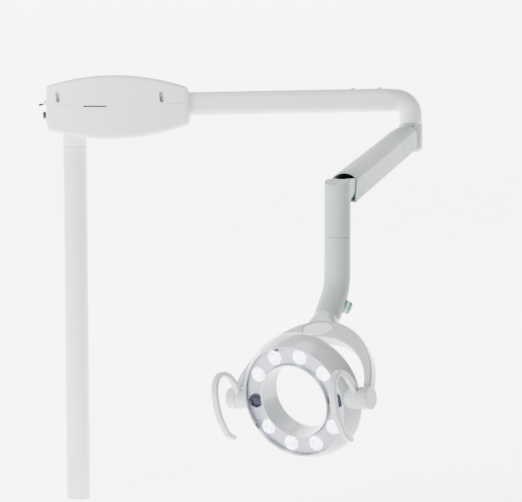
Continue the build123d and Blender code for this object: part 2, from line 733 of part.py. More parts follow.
# the hood's seam bulges up the arm: it is cut by a round about a point near the lower end
hood_round = Plane(origin=upper_pivot + arm_dir * (LOWER_HOOD_START + 60) + arm_up * CASE_OFFSET, x_dir=arm_dir,
                   z_dir=-side_dir)
HOOD_ROUND_RADIUS = 60.0

with BuildPart() as arm_sleeve:
    add(case_solid(UPPER_HOOD_END + 1.2, LOWER_HOOD_START + 30))
    add(case_solid(UPPER_HOOD_END - 5, LOWER_HOOD_START + 40, CASE_WALL, 4), mode=Mode.SUBTRACT)
    with BuildSketch(hood_round):
        Circle(HOOD_ROUND_RADIUS + 1.2)
    extrude(amount=40, both=True, mode=Mode.SUBTRACT)
write(arm_sleeve, "arm_sleeve")

with BuildPart() as upper_hood:
    add(case_solid(CASE_START, UPPER_HOOD_END))
    add(case_solid(CASE_START - 5, UPPER_HOOD_END + 5, CASE_WALL, 4), mode=Mode.SUBTRACT)
write(upper_hood, "upper_hood")

# the lower hood's top is cut by a sloping facet, its sides slant and its floor stops short of the column
with BuildPart() as lower_hood:
    add(case_solid(LOWER_HOOD_START - 5, LOWER_HOOD_END))
    add(case_solid(LOWER_HOOD_START - 20, LOWER_HOOD_END + 20, CASE_WALL, 4), mode=Mode.SUBTRACT)
    with BuildSketch(hood_round):
        Circle(HOOD_ROUND_RADIUS)
    extrude(amount=40, both=True, mode=Mode.INTERSECT)
    with BuildSketch(lower_side):
        with BuildLine():
            Polyline((-42, 60), (-42, 34.5), (-40, 34.5), (-28, -34), (20, -34), (20, 60), (-42, 60))
        make_face()
    extrude(amount=40, both=True, mode=Mode.SUBTRACT)
    with BuildSketch(lower_side):
        with Locations((-32, -14)):
            Rectangle(24, 40)
    extrude(amount=CASE_WIDTH / 2 - CASE_WALL - 0.01, both=True, mode=Mode.SUBTRACT)
write(lower_hood, "lower_hood")

# the neck is the arm's own casting between the upper column and the hood
NECK_HALF = 22.2
with BuildPart() as arm_neck:
    with BuildSketch(arm_section(39)) as neck_profile:
        with BuildLine():
            Line((-NECK_HALF, -23), (NECK_HALF, -23))
            Line((NECK_HALF, -23), (NECK_HALF, 11))
            ThreePointArc((NECK_HALF, 11), (0, 24), (-NECK_HALF, 11))
            Line((-NECK_HALF, 11), (-NECK_HALF, -23))
        make_face()
        fillet(neck_profile.vertices(), 6)
        with Locations((0, -CASE_OFFSET)):
            Rectangle(2 * PLATE_OUTER, 24, mode=Mode.SUBTRACT)
        with Locations((0, LINK_RISE - CASE_OFFSET)):
            Rectangle(12, 14, mode=Mode.SUBTRACT)
    extrude(amount=58)
write(arm_neck, "arm_neck")

SPRING_Y = -6.0
ROD_RADIUS = 3.0
# two side rails with forked ends that carry the pivots
with BuildPart() as arm_frame:
    for side in (-1, 1):
        with BuildSketch(arm_side(side * (PLATE_INNER + PLATE_OUTER) / 2)):
            with Locations((0, 0), (arm_length, 0)):
                Circle(9)
            with Locations((arm_length / 2, 0)):
                Rectangle(arm_length, 12)
            with Locations((0, 0), (arm_length, 0)):
                Circle(PIVOT_RADIUS + FIT, mode=Mode.SUBTRACT)
        extrude(amount=(PLATE_OUTER - PLATE_INNER) / 2, both=True)
    for s in (112, arm_length - 110):
        with BuildSketch(arm_section(s, SPRING_Y)):
            with Locations((0, 1)):
                Rectangle(2 * PLATE_OUTER, 18)
            Circle(ROD_RADIUS + 0.2, mode=Mode.SUBTRACT)
        extrude(amount=6)
write(arm_frame, "arm_frame")

# compression spring on its rod, closed up into one ribbed sleeve
SPRING_RADIUS = 5.6
SPRING_WIRE = 1.2
SPRING_START = 140.0
SPRING_TURNS = 60
SPRING_PITCH = 3.5
spring_axis = Axis(upper_pivot + arm_up * SPRING_Y, arm_dir)
spring_side = Plane(origin=upper_pivot + arm_dir * SPRING_START + arm_up * SPRING_Y, x_dir=arm_dir,
                    z_dir=side_dir * -1.0)
with BuildPart() as balance_spring:
    with BuildSketch(spring_side):
        for i in range(SPRING_TURNS):
            with Locations((i * SPRING_PITCH + SPRING_WIRE, SPRING_RADIUS - SPRING_WIRE)):
                Circle(SPRING_WIRE)
        with Locations(((SPRING_TURNS - 1) * SPRING_PITCH / 2 + SPRING_WIRE, SPRING_RADIUS - SPRING_WIRE)):
            Rectangle((SPRING_TURNS - 1) * SPRING_PITCH, 0.8)
    revolve(axis=spring_axis)
write(balance_spring, "balance_spring")
spring_end = SPRING_START + (SPRING_TURNS - 1) * SPRING_PITCH + 2 * SPRING_WIRE

with BuildPart() as spring_rod:
    with BuildSketch(arm_section(98, SPRING_Y)):
        Circle(ROD_RADIUS)
    extrude(amount=arm_length - 98 - 86)
write(spring_rod, "spring_rod")

with BuildPart() as spring_seats:
    for s in (SPRING_START - 6.2, spring_end + 0.2):
        with BuildSketch(arm_section(s, SPRING_Y)):
            Circle(SPRING_RADIUS)
            Circle(ROD_RADIUS + FIT, mode=Mode.SUBTRACT)
        extrude(amount=6)
    with BuildSketch(arm_section(spring_end + 6.4, SPRING_Y)):
        RegularPolygon(SPRING_RADIUS, 6)
        Circle(ROD_RADIUS + FIT, mode=Mode.SUBTRACT)
    extrude(amount=9)
write(spring_seats, "spring_seats")

# ------------------------------------------------------------------ parallel link
upper_link_pivot = upper_pivot + Vector(0, 0, LINK_RISE)
lower_link_pivot = lower_pivot + Vector(0, 0, LINK_RISE)
link_plane = Plane(origin=upper_link_pivot, x_dir=arm_dir, z_dir=side_dir * -1.0)
LINK_OPEN_CLEARANCE = 0.4
with BuildPart() as parallel_link:
    with BuildSketch(link_plane):
        with Locations((arm_length / 2, 0)):
            Rectangle(arm_length, 6)
        with Locations((0, 0), (arm_length, 0)):
            Circle(4.4)
        Circle(2.55, mode=Mode.SUBTRACT)
        with Locations((arm_length, 0)):
            Circle(2.5 + LINK_OPEN_CLEARANCE, mode=Mode.SUBTRACT)
    extrude(amount=2.5, both=True)
write(parallel_link, "parallel_link")

# ------------------------------------------------------------------ head tube
slant_end = head_centre - slant_dir * (YOKE_SEAM + SEAM / 2)
tube_top = Vector(column_foot.X, column_foot.Y, TUBE_SEAM_Z - SEAM / 2)
# the dimmer stands on the back right of the slanted stretch
KNOB_TURN = radians(-35)
KNOB_DOWN = 30.0
knob_dir = unit(level_side * cos(KNOB_TURN) + slant_dir.cross(level_side) * sin(KNOB_TURN))
knob_foot = tube_corner + slant_dir * KNOB_DOWN
knob_plane = Plane(origin=knob_foot + knob_dir * TUBE_RADIUS, x_dir=slant_dir, z_dir=knob_dir)
with BuildPart() as head_tube:
    with BuildLine():
        FilletPolyline(tube_top, tube_corner, slant_end, radius=TUBE_BEND)
    with BuildSketch(Plane(origin=tube_top)):
        Circle(TUBE_RADIUS)
        Circle(TUBE_RADIUS - TUBE_WALL, mode=Mode.SUBTRACT)
    sweep()
    with BuildSketch(knob_plane.offset(-8)):
        Circle(4.2)
    extrude(amount=12, mode=Mode.SUBTRACT)
write(head_tube, "head_tube")

TUBE_BORE = TUBE_RADIUS - TUBE_WALL
ring("head_tube_bush", Plane(origin=tube_top).offset(-42), TUBE_BORE, SPINDLE_RADIUS + FIT, 42)
yoke_seam_plane = Plane(origin=head_centre - slant_dir * YOKE_SEAM, x_dir=tilt_dir, z_dir=slant_dir * -1.0)
ring("slant_bush", yoke_seam_plane.offset(SEAM / 2), TUBE_BORE, SPINDLE_RADIUS + FIT, 26)

# dimmer on the slanted stretch: a boss, a lit ring and a round knob
with BuildPart() as dimmer_boss:
    with BuildSketch(knob_plane.offset(-6)):
        Circle(12.5)
        Circle(4.2, mode=Mode.SUBTRACT)
    extrude(amount=8)
    with BuildSketch(Plane(origin=tube_corner, x_dir=level_side, z_dir=slant_dir)):
        Circle(TUBE_RADIUS + 0.02)
    extrude(amount=66, mode=Mode.SUBTRACT)
write(dimmer_boss, "dimmer_boss")
ring("indicator_ring", knob_plane.offset(2), 12.2, 4.2, 2.2)

with BuildPart() as dimmer_knob:
    with BuildSketch(knob_plane.offset(4.6)):
        Circle(11.5)
    extrude(amount=7)
    fillet(dimmer_knob.faces().sort_by(Axis(knob_foot, knob_dir))[-1].edges(), 3)
    with BuildSketch(knob_plane.offset(4)):
        with PolarLocations(11.9, 20):
            Circle(0.7)
    extrude(amount=8, mode=Mode.SUBTRACT)
    with BuildSketch(knob_plane.offset(-TUBE_WALL - 5)):
        Circle(3)
    extrude(amount=TUBE_WALL + 9.8)
write(dimmer_knob, "dimmer_knob")

# ------------------------------------------------------------------ yoke
YOKE_EDGE = 4.5
YOKE_SOCKET = 17.5
with BuildPart() as yoke:
    with BuildSketch(yoke_plane.offset(-20)):
        Ellipse(YOKE_HALF_WIDTH - 3.1, YOKE_TOP)
        Ellipse(YOKE_INNER_X + 1, YOKE_INNER_Y, mode=Mode.SUBTRACT)
        with Locations((0, -200)):
            Rectangle(500, 400, mode=Mode.SUBTRACT)
    extrude(amount=40)
    with BuildSketch(Plane(origin=head_centre, x_dir=yoke_front, z_dir=tilt_dir * -1.0)):
        with BuildLine():
            Polyline((-10, -5), (10, -5), (15.5, 160), (-15.5, 160), (-10, -5))
        make_face()
    extrude(amount=200, both=True, mode=Mode.INTERSECT)
    fillet(yoke.edges().filter_by(lambda edge: edge.length > 150), YOKE_EDGE)
    for side in (-1, 1):
        with BuildSketch(tilt_plane.offset(side * HUB_START)):
            Circle(HUB_RADIUS)
        extrude(amount=side * (YOKE_HALF_WIDTH - HUB_START - 3))
    with BuildSketch(slant_plane.offset(YOKE_TOP - 24)):
        RectangleRounded(84, 28, 13.9)
    with BuildSketch(slant_plane.offset(YOKE_SEAM - SEAM / 2 - 3)):
        RectangleRounded(2 * TUBE_RADIUS, 2 * TUBE_RADIUS, TUBE_RADIUS - 0.01)
    loft()
    with BuildSketch(slant_plane.offset(YOKE_SEAM - SEAM / 2 - 3)):
        Circle(TUBE_RADIUS)
    extrude(amount=3)
    with BuildSketch(tilt_plane.offset(-HUB_START - 5)):
        Circle(6 + FIT)
    extrude(amount=2 * HUB_START + 10, mode=Mode.SUBTRACT)
    with BuildSketch(slant_plane.offset(YOKE_SEAM)):
        Circle(SPINDLE_RADIUS)
    extrude(amount=-YOKE_SOCKET, mode=Mode.SUBTRACT)
    with BuildSketch(yoke_plane.offset(11.2)):
        with Locations((0, 134)):
            Ellipse(32.5, 15)
    extrude(amount=10, mode=Mode.SUBTRACT)
write(yoke, "yoke")

with BuildPart() as yoke_spindle:
    with BuildSketch(slant_plane.offset(YOKE_SEAM - YOKE_SOCKET)):
        Circle(SPINDLE_RADIUS)
        Circle(SPINDLE_RADIUS - 4, mode=Mode.SUBTRACT)
    extrude(amount=YOKE_SOCKET + 27)
    with BuildSketch(slant_plane.offset(YOKE_SEAM + 27)):
        Circle(16)
        Circle(SPINDLE_RADIUS - 4, mode=Mode.SUBTRACT)
    extrude(amount=3)
write(yoke_spindle, "yoke_spindle")

with BuildPart() as yoke_badge:
    with BuildSketch(yoke_plane.offset(11.2)):
        with Locations((0, 134)):
            Ellipse(30.5, 13.4)
    extrude(amount=3.4)
    fillet(yoke_badge.faces().sort_by(Axis(head_centre, yoke_front))[-1].edges(), 1.2)
write(yoke_badge, "yoke_badge")

with BuildPart() as hub_caps:
    for side in (-1, 1):
        with BuildSketch(tilt_plane.offset(side * (YOKE_HALF_WIDTH - 3))):
            Circle(HUB_RADIUS)
        extrude(amount=side * 3)
    fillet(hub_caps.faces().sort_by(Axis(head_centre, tilt_dir))[-1].edges(), 1.5)
    fillet(hub_caps.faces().sort_by(Axis(head_centre, tilt_dir))[0].edges(), 1.5)
write(hub_caps, "hub_caps")

with BuildPart() as friction_washers:
    for side in (-1, 1):
        with BuildSketch(tilt_plane.offset(side * (LUG_END + 0.1))):
            Circle(16)
            Circle(6.2, mode=Mode.SUBTRACT)
        extrude(amount=side * (HUB_START - LUG_END - 0.1))
write(friction_washers, "friction_washers")

# ------------------------------------------------------------------ lamp head
SHELL = 2.6
with BuildPart() as head_housing:
    with BuildSketch(head_radial):
        with BuildLine():
            Line((BORE_FRONT, FACE_N - 1.5), (BORE_BACK, BACK_N + 5))
            ThreePointArc((BORE_BACK, BACK_N + 5), (BORE_BACK + 1.5, BACK_N + 1.4), (BORE_BACK + 5, BACK_N))
            Line((BORE_BACK + 5, BACK_N), (98, BACK_N))
            ThreePointArc((98, BACK_N), (106.6, BACK_N + 3.8), (BULGE_RADIUS, BACK_N + 13))
            ThreePointArc((BULGE_RADIUS, BACK_N + 13), (105.6, 3.5), (FACE_RADIUS, FACE_N))
            Line((FACE_RADIUS, FACE_N), (FACE_RADIUS - 1.6, FACE_N))
            Line((FACE_RADIUS - 1.6, FACE_N), (FACE_RADIUS - 1.6, FACE_N - 5.5))
            ThreePointArc((FACE_RADIUS - 1.6, FACE_N - 5.5), (102.6, 2.4), (BULGE_RADIUS - SHELL, BACK_N + 13))
            ThreePointArc((BULGE_RADIUS - SHELL, BACK_N + 13), (104.4, BACK_N + 5.8), (98, BACK_N + SHELL))
            Line((98, BACK_N + SHELL), (BORE_BACK + 5, BACK_N + SHELL))
            Line((BORE_BACK + 5, BACK_N + SHELL), (BORE_BACK + SHELL, BACK_N + 6))
            Line((BORE_BACK + SHELL, BACK_N + 6), (BORE_FRONT + 1.5, FACE_N - 1.5))
            Line((BORE_FRONT + 1.5, FACE_N - 1.5), (BORE_FRONT, FACE_N - 1.5))
        make_face()
    revolve(axis=head_axis)
    for side in (-1, 1):
        with BuildSketch(tilt_plane.offset(side * 96)):
            Circle(8)
        extrude(amount=side * 20, mode=Mode.SUBTRACT)
write(head_housing, "head_housing")

PLATE_BACK_N = 11.5
BOARD_N = -2.0
lens_places = [i for i in range(STATIONS) if i not in (0, STATIONS // 2)]
LENS_RADIUS = 12.7
SENSOR_RADIUS = 11.0
PLATE_OUTER_RADIUS = 95.2
with BuildPart() as reflector_plate:
    with BuildSketch(head_plane.offset(PLATE_BACK_N)):
        Circle(PLATE_OUTER_RADIUS)
        Circle(BORE_FRONT + 3, mode=Mode.SUBTRACT)
        with PolarLocations(LENS_CIRCLE, STATIONS):
            Circle(LENS_RADIUS + 0.3, mode=Mode.SUBTRACT)
    extrude(amount=1.6)
write(reflector_plate, "reflector_plate")

with BuildPart() as clear_cover:
    with BuildSketch(head_plane.offset(FACE_N - 2.4)):
        Circle(FACE_RADIUS - 1.8)
        Circle(BORE_FRONT + 2.0, mode=Mode.SUBTRACT)
    extrude(amount=2.0)
write(clear_cover, "clear_cover")

with BuildPart() as led_board:
    with BuildSketch(head_plane.offset(BOARD_N)):
        Circle(93)
        Circle(BORE_FRONT + 4, mode=Mode.SUBTRACT)
    extrude(amount=1.6)
    with BuildSketch(head_plane.offset(BOARD_N + 1.6)):
        for i in lens_places:
            angle = radians(360 / STATIONS * i)
            with Locations((LENS_CIRCLE * cos(angle), LENS_CIRCLE * sin(angle))):
                Rectangle(5, 5)
    extrude(amount=1.4)
write(led_board, "led_board")

with BuildPart() as heat_sink:
    with BuildSketch(head_plane.offset(BOARD_N - 4)):
        Circle(92.5)
        Circle(BORE_FRONT + 4.5, mode=Mode.SUBTRACT)
    extrude(amount=4)
    with BuildSketch(head_plane.offset(BOARD_N - 18)):
        with PolarLocations(80.5, 48):
            Rectangle(24, 1.6)
    extrude(amount=14)
write(heat_sink, "heat_sink")

def head_station(index, n):
    """Plane across one station of the lens circle, n ahead of the tilt axis."""
    angle = radians(360 / STATIONS * index)
    centre = head_centre + tilt_dir * (LENS_CIRCLE * cos(angle)) + head_up * (LENS_CIRCLE * sin(angle))
    return Plane(origin=centre + head_front * n, x_dir=tilt_dir, z_dir=head_front)


LENS_DEPTH = 12.0
LENS_RIM = 1.8
LENS_SAG = 1.2
WINDOW_SAG = 3.0
with BuildPart(mode=Mode.PRIVATE) as lens_form:
    with BuildSketch(Plane.XZ):
        with BuildLine():
            Polyline((0, 2.6), (3.2, 0), (5.0, 0))
            ThreePointArc((5.0, 0), (9.6, 4.8), (LENS_RADIUS - 0.9, LENS_DEPTH - LENS_RIM))
            Polyline((LENS_RADIUS - 0.9, LENS_DEPTH - LENS_RIM), (LENS_RADIUS, LENS_DEPTH - LENS_RIM),
                     (LENS_RADIUS, LENS_DEPTH))
            ThreePointArc((LENS_RADIUS, LENS_DEPTH), dome_middle(LENS_RADIUS, LENS_DEPTH, LENS_SAG),
                          (0, LENS_DEPTH + LENS_SAG))
            Line((0, LENS_DEPTH + LENS_SAG), (0, 2.6))
        make_face()
    revolve(axis=Axis.Z)
with BuildPart() as led_lenses:
    with Locations(*[head_station(i, BOARD_N + 3.2).location for i in lens_places]):
        add(lens_form.part)
write(led_lenses, "led_lenses")

SENSOR_BACK = BOARD_N + 1.7
with BuildPart() as sensor_bodies:
    for i in (0, STATIONS // 2):
        with BuildSketch(head_station(i, SENSOR_BACK)):
            Circle(LENS_RADIUS - 0.4)
            Circle(SENSOR_RADIUS, mode=Mode.SUBTRACT)
        extrude(amount=15.4)
        with BuildSketch(head_station(i, SENSOR_BACK)):
            Circle(SENSOR_RADIUS)
        extrude(amount=3)
write(sensor_bodies, "sensor_bodies")

with BuildPart(mode=Mode.PRIVATE) as window_form:
    with BuildSketch(Plane.XZ):
        with BuildLine():
            Polyline((0, 0), (SENSOR_RADIUS - 0.1, 0), (SENSOR_RADIUS - 0.1, 8.6))
            ThreePointArc((SENSOR_RADIUS - 0.1, 8.6), dome_middle(SENSOR_RADIUS - 0.1, 8.6, WINDOW_SAG),
                          (0, 8.6 + WINDOW_SAG))
            Line((0, 8.6 + WINDOW_SAG), (0, 0))
        make_face()
    revolve(axis=Axis.Z)
with BuildPart() as sensor_windows:
    with Locations(*[head_station(i, SENSOR_BACK + 3.1).location for i in (0, STATIONS // 2)]):
        add(window_form.part)
write(sensor_windows, "sensor_windows")

# pivot bosses stand on the wall of the head and carry the lugs of the handles
with BuildPart() as pivot_bosses:
    for side in (-1, 1):
        with BuildSketch(tilt_plane.offset(side * 98)):
            Circle(HUB_RADIUS - 0.4)
            Circle(6, mode=Mode.SUBTRACT)
        extrude(amount=side * (BOSS_END - 98))
    with BuildSketch(head_radial):
        with BuildLine():
            Line((80, BACK_N - 1), (BULGE_RADIUS, BACK_N - 1))
            Line((BULGE_RADIUS, BACK_N - 1), (BULGE_RADIUS + 0.1, BACK_N + 13))
            ThreePointArc((BULGE_RADIUS + 0.1, BACK_N + 13), (105.7, 3.5), (FACE_RADIUS + 0.1, FACE_N))
            Polyline((FACE_RADIUS + 0.1, FACE_N), (80, FACE_N), (80, BACK_N - 1))
        make_face()
    revolve(axis=head_axis, mode=Mode.SUBTRACT)
write(pivot_bosses, "pivot_bosses")

PIN_START = 97.0
with BuildPart() as pivot_pins:
    for side in (-1, 1):
        with BuildSketch(tilt_plane.offset(side * PIN_START)):
            Circle(6)
        extrude(amount=side * (HUB_START + 4.5 - PIN_START))
        with BuildSketch(tilt_plane.offset(side * PIN_START)):
            RegularPolygon(9.5, 6)
        extrude(amount=-side * 3)
write(pivot_pins, "pivot_pins")

# each handle is one flat band: a lug, a loop forward over the top and a long grip that curls back
HANDLE_BAND = 8.4
GRIP_START = 110.8
for side, handle_name in ((-1, "handle_left"), (1, "handle_right")):
    with BuildPart() as handle:
        with BuildSketch(tilt_plane.offset(side * GRIP_START)) as handle_sketch:
            with BuildLine() as handle_line:
                Spline((8, -4), (15, -30), (30, -51), (51, -59.5), (69.5, -48), (77, -24), (75.5, 10), (66, 37),
                       (50, 54), tangents=[(0.1, -1), (-1, 0.7)])
            trace(line_width=HANDLE_BAND)
            with Locations((50, 54)):
                Circle(HANDLE_BAND / 2)
        extrude(amount=side * (LUG_END - GRIP_START))
        fillet(handle.edges().filter_by(lambda edge: edge.length > 60), 2.6)
        with BuildSketch(tilt_plane.offset(side * (GRIP_START - 1))):
            Circle(HUB_RADIUS + 2)
        extrude(amount=side * (LUG_START - GRIP_START + 1), mode=Mode.SUBTRACT)
        with BuildSketch(tilt_plane.offset(side * LUG_START)):
            Circle(HUB_RADIUS - 0.4)
        extrude(amount=side * (LUG_END - LUG_START))
        with BuildSketch(tilt_plane.offset(side * (LUG_START - 1))):
            Circle(6 + FIT)
        extrude(amount=side * 12, mode=Mode.SUBTRACT)
    write(handle, handle_name)

# small dark catches hold the clear cover at two places of its rim
with BuildPart() as cover_catches:
    for angle in (98, 208):
        reach = FACE_RADIUS - 4.4
        with BuildSketch(head_plane.offset(FACE_N - 0.3)):
            with Locations((reach * cos(radians(angle)), reach * sin(radians(angle)))):
                Rectangle(5, 9, rotation=angle)
        extrude(amount=1)
write(cover_catches, "cover_catches")
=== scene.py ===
import bmesh
import bpy
import json
from math import cos, pi, radians, sin
from mathutils import Matrix, Vector


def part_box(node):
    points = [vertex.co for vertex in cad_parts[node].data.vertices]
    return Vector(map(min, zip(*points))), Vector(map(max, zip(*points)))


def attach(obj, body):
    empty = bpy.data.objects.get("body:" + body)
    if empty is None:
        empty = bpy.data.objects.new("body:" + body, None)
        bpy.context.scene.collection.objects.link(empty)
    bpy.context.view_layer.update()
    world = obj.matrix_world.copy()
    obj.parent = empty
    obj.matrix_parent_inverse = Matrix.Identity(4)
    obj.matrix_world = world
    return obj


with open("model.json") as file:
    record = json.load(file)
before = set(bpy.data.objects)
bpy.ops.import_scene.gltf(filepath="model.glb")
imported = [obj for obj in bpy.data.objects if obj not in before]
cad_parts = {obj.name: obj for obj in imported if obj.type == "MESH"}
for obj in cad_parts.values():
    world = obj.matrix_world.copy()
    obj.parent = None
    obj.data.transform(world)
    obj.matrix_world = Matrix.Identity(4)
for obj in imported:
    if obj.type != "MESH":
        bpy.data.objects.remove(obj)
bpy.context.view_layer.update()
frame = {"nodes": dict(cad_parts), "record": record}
joints = {joint["name"]: joint for joint in frame["record"]["behaviour"]["joints"]}

# ------------------------------------------------------------------ places on the lamp head
HEAD_TILT = radians(52.6)
tilt_axis = Vector(joints["head_tilt"]["axis"]).normalized()
slant_axis = Vector(joints["yoke_swivel"]["axis"]).normalized()
head_centre = Vector(joints["head_tilt"]["pos_m"])
yoke_front = tilt_axis.cross(-slant_axis)
face = (yoke_front * cos(HEAD_TILT) + slant_axis * sin(HEAD_TILT)).normalized()
head_up = face.cross(tilt_axis)
LENS_CIRCLE = 0.080
STATIONS = 10


def place(origin, right, normal):
    """Matrix that lays local X along right and local Z along normal, at origin."""
    normal = normal.normalized()
    right = (right - normal * right.dot(normal)).normalized()
    matrix = Matrix((right, normal.cross(right), normal)).transposed().to_4x4()
    matrix.translation = origin
    return matrix


def station(index, height):
    angle = 2 * pi / STATIONS * index
    spot = head_centre + tilt_axis * (LENS_CIRCLE * cos(angle)) + head_up * (LENS_CIRCLE * sin(angle))
    return place(spot + face * height, tilt_axis, face)


# ------------------------------------------------------------------ materials
def new_material(name, color, roughness, metallic=0.0, **sockets):
    """Start a material: returns its node tree and its Principled shader."""
    material = bpy.data.materials.new(name)
    material.use_nodes = True
    tree = material.node_tree
    shader = next(node for node in tree.nodes if node.type == "BSDF_PRINCIPLED")
    shader.inputs["Base Color"].default_value = (*color, 1)
    shader.inputs["Roughness"].default_value = roughness
    shader.inputs["Metallic"].default_value = metallic
    for socket, value in sockets.items():
        shader.inputs[socket.replace("_", " ")].default_value = value
    return material, tree, shader


def noise(tree, scale, detail=4.0, stretch=(1, 1, 1)):
    """Noise in the object's own coordinates."""
    coords = tree.nodes.new("ShaderNodeTexCoord")
    mapping = tree.nodes.new("ShaderNodeMapping")
    mapping.inputs["Scale"].default_value = stretch
    texture = tree.nodes.new("ShaderNodeTexNoise")
    texture.inputs["Scale"].default_value = scale
    texture.inputs["Detail"].default_value = detail
    tree.links.new(coords.outputs["Object"], mapping.inputs["Vector"])
    tree.links.new(mapping.outputs["Vector"], texture.inputs["Vector"])
    return texture.outputs["Fac"]


def ramp(tree, factor, stops):
    """Colour ramp over factor; stops are (place, colour)."""
    node = tree.nodes.new("ShaderNodeValToRGB")
    elements = node.color_ramp.elements
    while len(elements) < len(stops):
        elements.new(0.5)
    for element, (spot, color) in zip(elements, stops):
        element.position = spot
        element.color = (*color, 1) if len(color) == 3 else color
    tree.links.new(factor, node.inputs["Fac"])
    return node.outputs["Color"]


def bump(tree, shader, factor, strength, distance):
    node = tree.nodes.new("ShaderNodeBump")
    node.inputs["Strength"].default_value = strength
    node.inputs["Distance"].default_value = distance
    tree.links.new(factor, node.inputs["Height"])
    tree.links.new(node.outputs["Normal"], shader.inputs["Normal"])


def shade(color, amount):
    return tuple(min(1.0, channel * amount) for channel in color)


def coated(name, color, roughness, grain, depth, variation=0.03, **sockets):
    """Paint or moulded plastic: fine grain in the surface, cloudy tone and uneven gloss."""
    material, tree, shader = new_material(name, color, roughness, **sockets)
    cloud = noise(tree, 9, 5)
    tone = ramp(tree, cloud, [(0.3, shade(color, 1 - variation)), (0.7, shade(color, 1 + variation))])
    tree.links.new(tone, shader.inputs["Base Color"])
    wear = noise(tree, 60, 6)
    gloss = ramp(tree, wear, [(0.3, (roughness * 0.82,) * 3), (0.75, (min(1.0, roughness * 1.25),) * 3)])
    tree.links.new(gloss, shader.inputs["Roughness"])
    bump(tree, shader, noise(tree, grain, 3), depth, 0.0004)
    return material


def metal(name, color, roughness, stretch=(1, 1, 30), scale=260):
    """Turned or drawn metal: streaks along one direction."""
    material, tree, shader = new_material(name, color, roughness, 1.0)
    streaks = noise(tree, scale, 6, stretch)
    tone = ramp(tree, streaks, [(0.25, shade(color, 0.8)), (0.8, shade(color, 1.12))])
    tree.links.new(tone, shader.inputs["Base Color"])
    gloss = ramp(tree, streaks, [(0.2, (roughness * 0.7,) * 3), (0.8, (roughness * 1.4,) * 3)])
    tree.links.new(gloss, shader.inputs["Roughness"])
    bump(tree, shader, streaks, 0.12, 0.0003)
    return material


made = {
    "boom_paint": coated("boom_paint", (0.68, 0.69, 0.72), 0.34, 700, 0.10, Coat_Weight=0.3,
                         Coat_Roughness=0.15),
    "arm_paint": coated("arm_paint", (0.38, 0.44, 0.42), 0.5, 700, 0.10, Specular_IOR_Level=0.2),
    "housing_plastic": coated("housing_plastic", (0.72, 0.73, 0.76), 0.40, 1500, 0.22, 0.02),
    "arm_plastic": coated("arm_plastic", (0.33, 0.40, 0.37), 0.5, 1500, 0.22, 0.02,
                          Specular_IOR_Level=0.2),
    "head_plastic": coated("head_plastic", (0.54, 0.56, 0.58), 0.26, 1100, 0.08, 0.02, Coat_Weight=0.5,
                           Coat_Roughness=0.08),
    "badge_plastic": coated("badge_plastic", (0.95, 0.95, 0.95), 0.22, 900, 0.05, 0.015, Coat_Weight=0.6,
                            Coat_Roughness=0.06),
    "black_plastic": coated("black_plastic", (0.012, 0.013, 0.015), 0.38, 1300, 0.25, 0.25),
    "bush_plastic": coated("bush_plastic", (0.035, 0.037, 0.038), 0.5, 900, 0.2, 0.2),
    "winding": coated("winding", (0.42, 0.16, 0.05), 0.35, 500, 0.3, 0.15),
    "steel": metal("steel", (0.52, 0.52, 0.54), 0.3),
    "chrome": metal("chrome", (0.82, 0.82, 0.84), 0.09, (1, 14, 14), 400),
    "brass": metal("brass", (0.72, 0.52, 0.24), 0.28),
    "cast_aluminium": coated("cast_aluminium", (0.55, 0.56, 0.58), 0.42, 420, 0.5, 0.08, Metallic=0.9),
    # the silvered face plate behind the clear cover
    "reflector": coated("reflector", (0.42, 0.42, 0.52), 0.30, 300, 0.15, 0.06, Metallic=0.55),
}

# green lacquered board with paler tracks
board, tree, shader = new_material("circuit_board", (0.03, 0.16, 0.08), 0.35)
voronoi = tree.nodes.new("ShaderNodeTexVoronoi")
voronoi.feature = "DISTANCE_TO_EDGE"
voronoi.inputs["Scale"].default_value = 160
coords = tree.nodes.new("ShaderNodeTexCoord")
tree.links.new(coords.outputs["Object"], voronoi.inputs["Vector"])
tracks = ramp(tree, voronoi.outputs["Distance"], [(0.04, (0.06, 0.30, 0.14)), (0.07, (0.025, 0.13, 0.06))])
tree.links.new(tracks, shader.inputs["Base Color"])
bump(tree, shader, voronoi.outputs["Distance"], 0.2, 0.0003)
made["circuit_board"] = board

# mint-green lit ring, a little brighter in patches where its diodes sit
glow, tree, shader = new_material("lit_ring", (0.2, 0.8, 0.5), 0.25)
patches = ramp(tree, noise(tree, 120, 2), [(0.3, (0.10, 0.95, 0.50)), (0.75, (0.30, 1.0, 0.68))])
tree.links.new(patches, shader.inputs["Emission Color"])
tree.links.new(patches, shader.inputs["Base Color"])
shader.inputs["Emission Strength"].default_value = 1.1
made["lit_ring"] = glow

# clear cover: mostly see-through, with a polished skin
clear, tree, shader = new_material("clear_cover", (0.2, 0.2, 0.24), 0.05, Alpha=0.05, IOR=1.49)
smear = ramp(tree, noise(tree, 14, 5), [(0.35, (0.03,) * 3), (0.8, (0.11,) * 3)])
tree.links.new(smear, shader.inputs["Roughness"])
made["clear_cover"] = clear

# lit lens: bright facets with darker joints, clear skin
lens, tree, shader = new_material("lens", (0.95, 0.95, 1.0), 0.08, IOR=1.49, Coat_Weight=0.8,
                                  Coat_Roughness=0.03)
cells = tree.nodes.new("ShaderNodeTexVoronoi")
cells.inputs["Scale"].default_value = 260
coords = tree.nodes.new("ShaderNodeTexCoord")
tree.links.new(coords.outputs["Object"], cells.inputs["Vector"])
sparkle = ramp(tree, cells.outputs["Distance"], [(0.15, (1.0, 1.0, 1.0)), (0.75, (0.32, 0.36, 0.46))])
tree.links.new(sparkle, shader.inputs["Emission Color"])
tree.links.new(sparkle, shader.inputs["Base Color"])
shader.inputs["Emission Strength"].default_value = 9.0
bump(tree, shader, cells.outputs["Distance"], 0.5, 0.0008)
made["lens"] = lens

